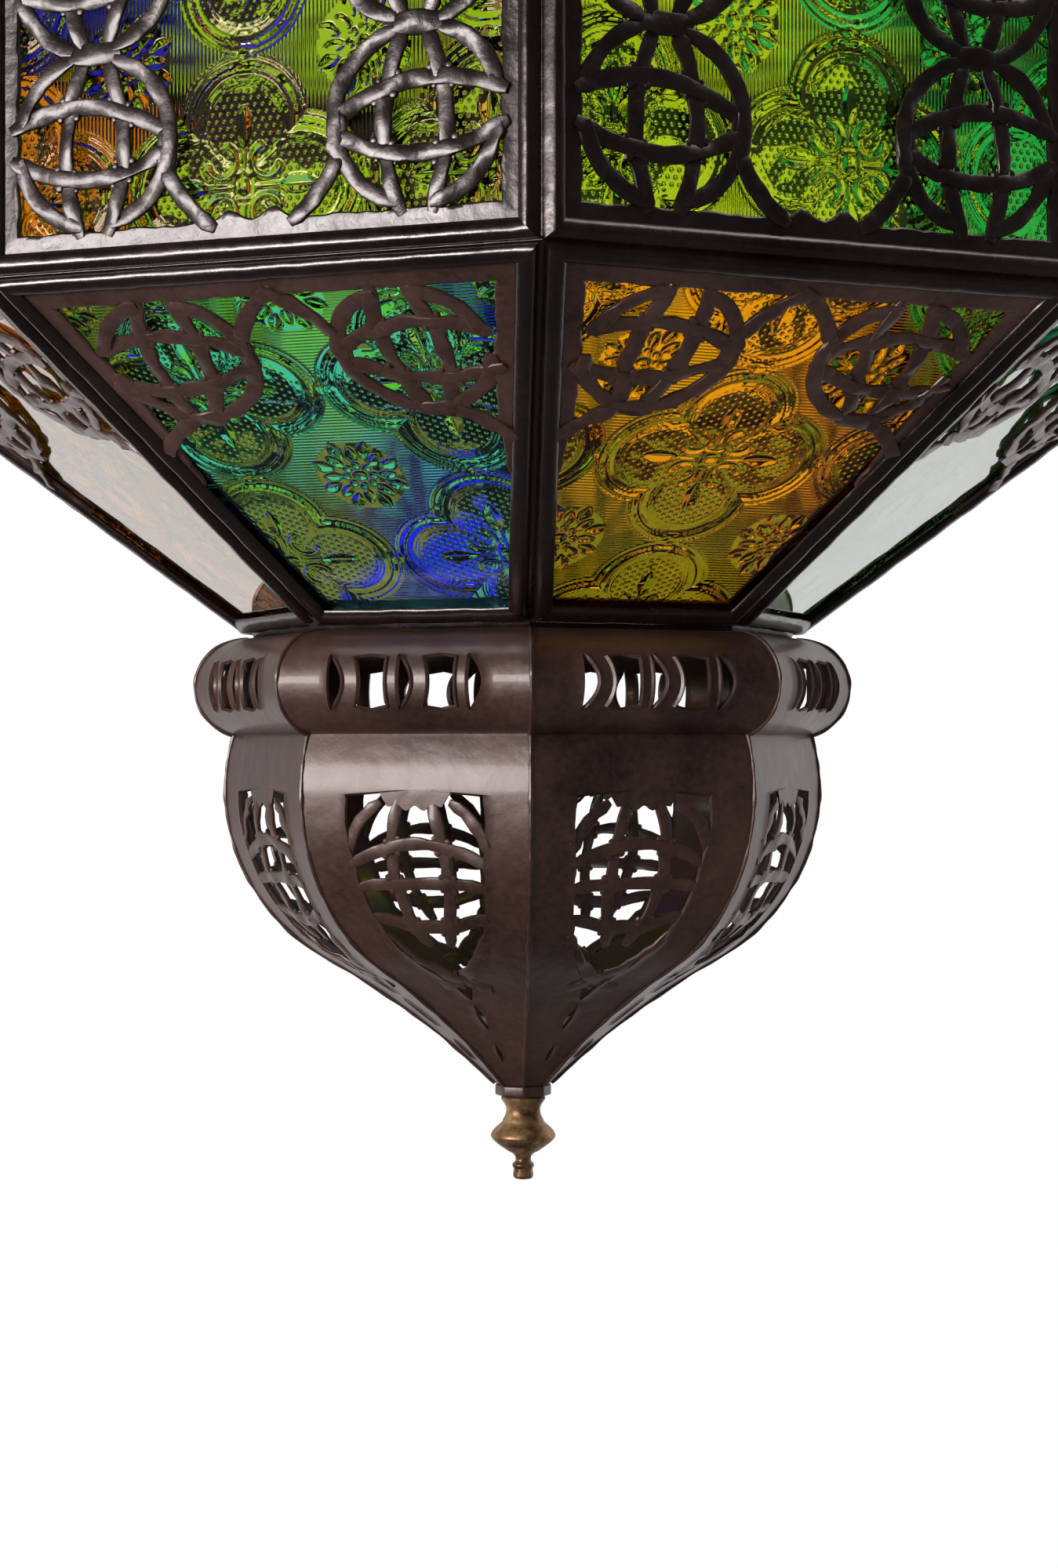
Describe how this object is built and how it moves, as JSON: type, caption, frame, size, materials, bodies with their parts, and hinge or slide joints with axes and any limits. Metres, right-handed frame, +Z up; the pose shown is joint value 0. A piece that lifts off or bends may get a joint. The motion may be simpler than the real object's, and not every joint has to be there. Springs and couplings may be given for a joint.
{
  "type": "ramadan fanous lantern",
  "caption": "Octagonal hanging lantern of dark pierced sheet metal and coloured pressed glass, with an onion pendant, brass finial, hinged service door and a hanging ring that it swings from.",
  "frame": {"origin": "point inside the top of the hanging ring where a hook bears", "axes": "+Z up along the lantern's axis; -Y towards the corner that faces the viewer; +X to the right"},
  "size_m": [0.4, 0.4059, 0.6613],
  "materials": {
    "dark_metal": "dark brown patina, semi-gloss, hand-worked",
    "aged_brass": "turned, dulled by age",
    "plain_steel": "plain zinc-plated",
    "holder_black": "moulded phenolic",
    "bulb_glass": "clear",
    "glass_teal": "pressed pattern inside, smooth outside",
    "glass_amber": "pressed pattern inside, smooth outside",
    "glass_green": "pressed pattern inside, smooth outside",
    "glass_lime": "pressed pattern inside, smooth outside",
    "glass_amethyst": "pressed pattern inside, smooth outside",
    "glass_blue": "pressed pattern inside, smooth outside",
    "glass_yellow": "pressed pattern inside, smooth outside"
  },
  "bodies": {
    "hanger": {"hanging_ring": "dark_metal"},
    "lantern": {"bulb_cap": "plain_steel", "bulb_tube": "bulb_glass", "button_rivet": "aged_brass", "corner_posts": "dark_metal", "crown_cap": "dark_metal", "dome_clamp": "plain_steel", "dome_gores": "dark_metal", "finial": "aged_brass", "finial_stud": "plain_steel", "hinge_pin": "plain_steel", "hinge_post_leaf": "dark_metal", "lamp_holder": "holder_black", "lamp_nipple": "plain_steel", "lower_bars": "dark_metal", "lower_belt": "dark_metal", "lower_collar": "dark_metal", "lower_filigrees": "dark_metal", "lower_pane_1": "glass_amethyst", "lower_pane_2": "glass_green", "lower_pane_3": "glass_blue", "lower_pane_4": "glass_yellow", "lower_pane_5": "glass_amber", "lower_pane_6": "glass_teal", "lower_pane_7": "glass_amber", "lower_pane_8": "glass_green", "lower_rim": "dark_metal", "pendant_clamp": "plain_steel", "pendant_cup": "dark_metal", "pendant_gores": "dark_metal", "roof_bars": "dark_metal", "roof_borders": "dark_metal", "roof_pane_1": "glass_teal", "roof_pane_2": "glass_yellow", "roof_pane_3": "glass_lime", "roof_pane_4": "glass_blue", "roof_pane_5": "glass_amethyst", "roof_pane_6": "glass_amber", "roof_pane_7": "glass_green", "roof_pane_8": "glass_yellow", "top_loop": "dark_metal", "upper_belt": "dark_metal", "upper_collar": "dark_metal", "upper_rim": "dark_metal", "upright_filigrees": "dark_metal", "upright_pane_1": "glass_teal", "upright_pane_2": "glass_yellow", "upright_pane_4": "glass_amber", "upright_pane_5": "glass_green", "upright_pane_6": "glass_amethyst", "upright_pane_7": "glass_lime", "upright_pane_8": "glass_blue"},
    "door": {"door_frame": "dark_metal", "door_pane": "glass_lime", "door_filigree": "dark_metal", "hinge_door_leaves": "dark_metal", "door_pull": "aged_brass"},
    "latch": {"turn_button": "dark_metal"}
  },
  "joints": [
    {"name": "lantern_swing", "type": "hinge", "parent": "hanger", "child": "lantern", "pos_m": [0, 0, -0.0355], "axis": [0, 1, 0], "range_deg": [-45, 45]},
    {"name": "door_hinge", "type": "hinge", "parent": "lantern", "child": "door", "pos_m": [-0.13595, 0.1465, -0.35089], "axis": [0, 0, 1], "range_deg": [0, 120]},
    {"name": "latch_turn", "type": "hinge", "parent": "lantern", "child": "latch", "pos_m": [-0.0038, 0.19886, -0.35089], "axis": [-0.3827, 0.9239, 0], "range_deg": [0, 90]}
  ]
}
